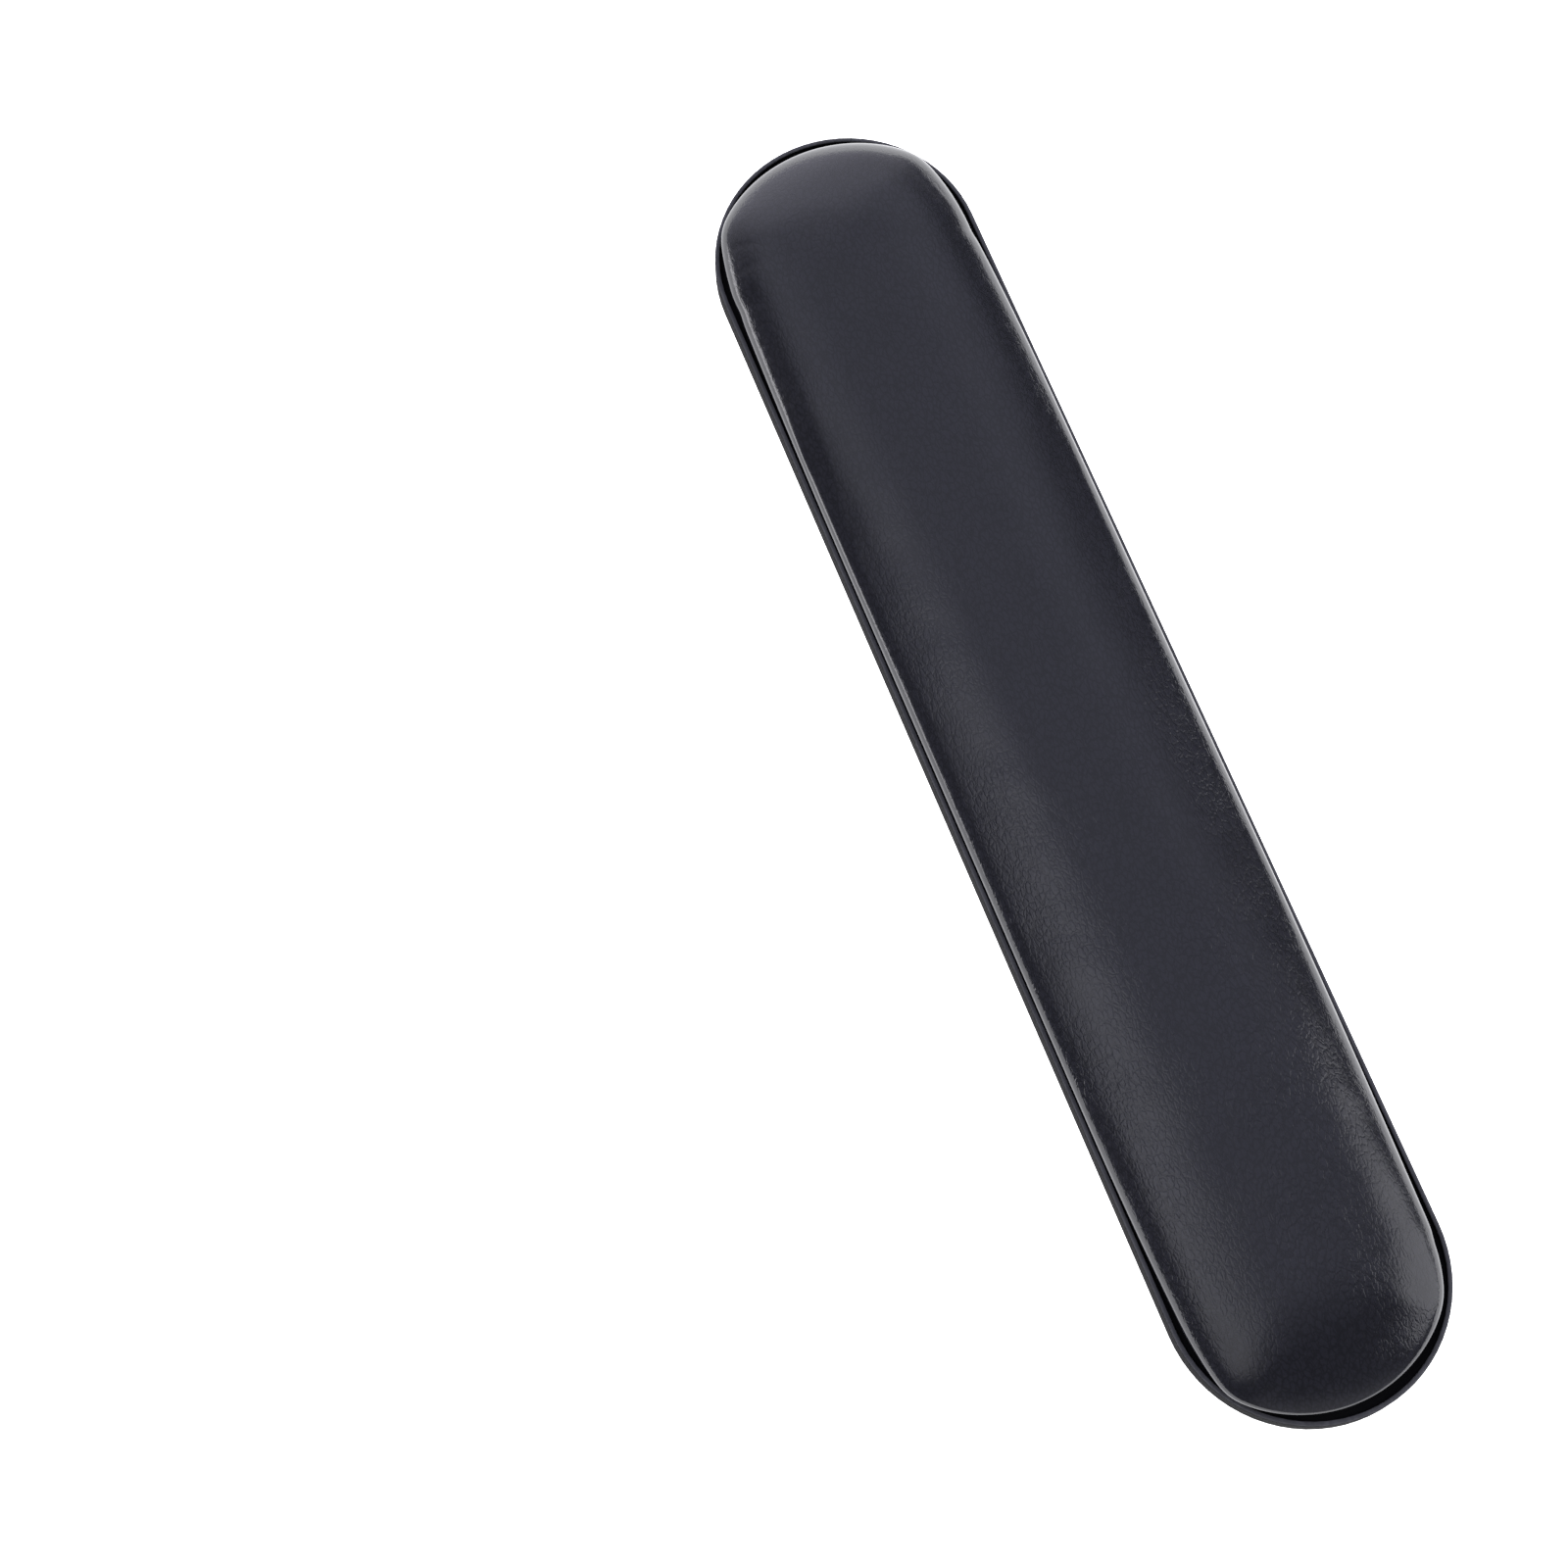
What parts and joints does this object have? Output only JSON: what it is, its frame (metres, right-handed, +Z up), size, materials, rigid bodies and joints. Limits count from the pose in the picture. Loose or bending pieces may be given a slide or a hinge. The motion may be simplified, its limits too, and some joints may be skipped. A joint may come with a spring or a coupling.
{
  "type": "chair armrest pad",
  "caption": "Full-length upholstered chair armrest pad: a black vinyl-covered foam cushion set in a rimmed plastic tray, with tee nuts for screws from below.",
  "frame": {"origin": "on the underside, at the centre of the tray's outline", "axes": "+X along the pad towards the sitter's hand, +Y across the pad, +Z up through the cushion"},
  "size_m": [0.355, 0.0694, 0.02],
  "materials": {
    "tray_plastic": "fine moulded texture, low sheen",
    "plywood": "plain birch plywood",
    "foam": "open-cell polyurethane foam",
    "vinyl": "black leather-grained vinyl, satin",
    "zinc_steel": "bright zinc plate",
    "black_steel": "black phosphate",
    "staple_wire": "galvanised wire"
  },
  "bodies": {
    "root": {"base_tray": "tray_plastic", "cushion_board": "plywood", "foam_core": "foam", "cover": "vinyl", "tee_nut_front": "zinc_steel", "tee_nut_rear": "zinc_steel", "tray_screws": "black_steel", "hem_staples": "staple_wire"}
  },
  "joints": []
}
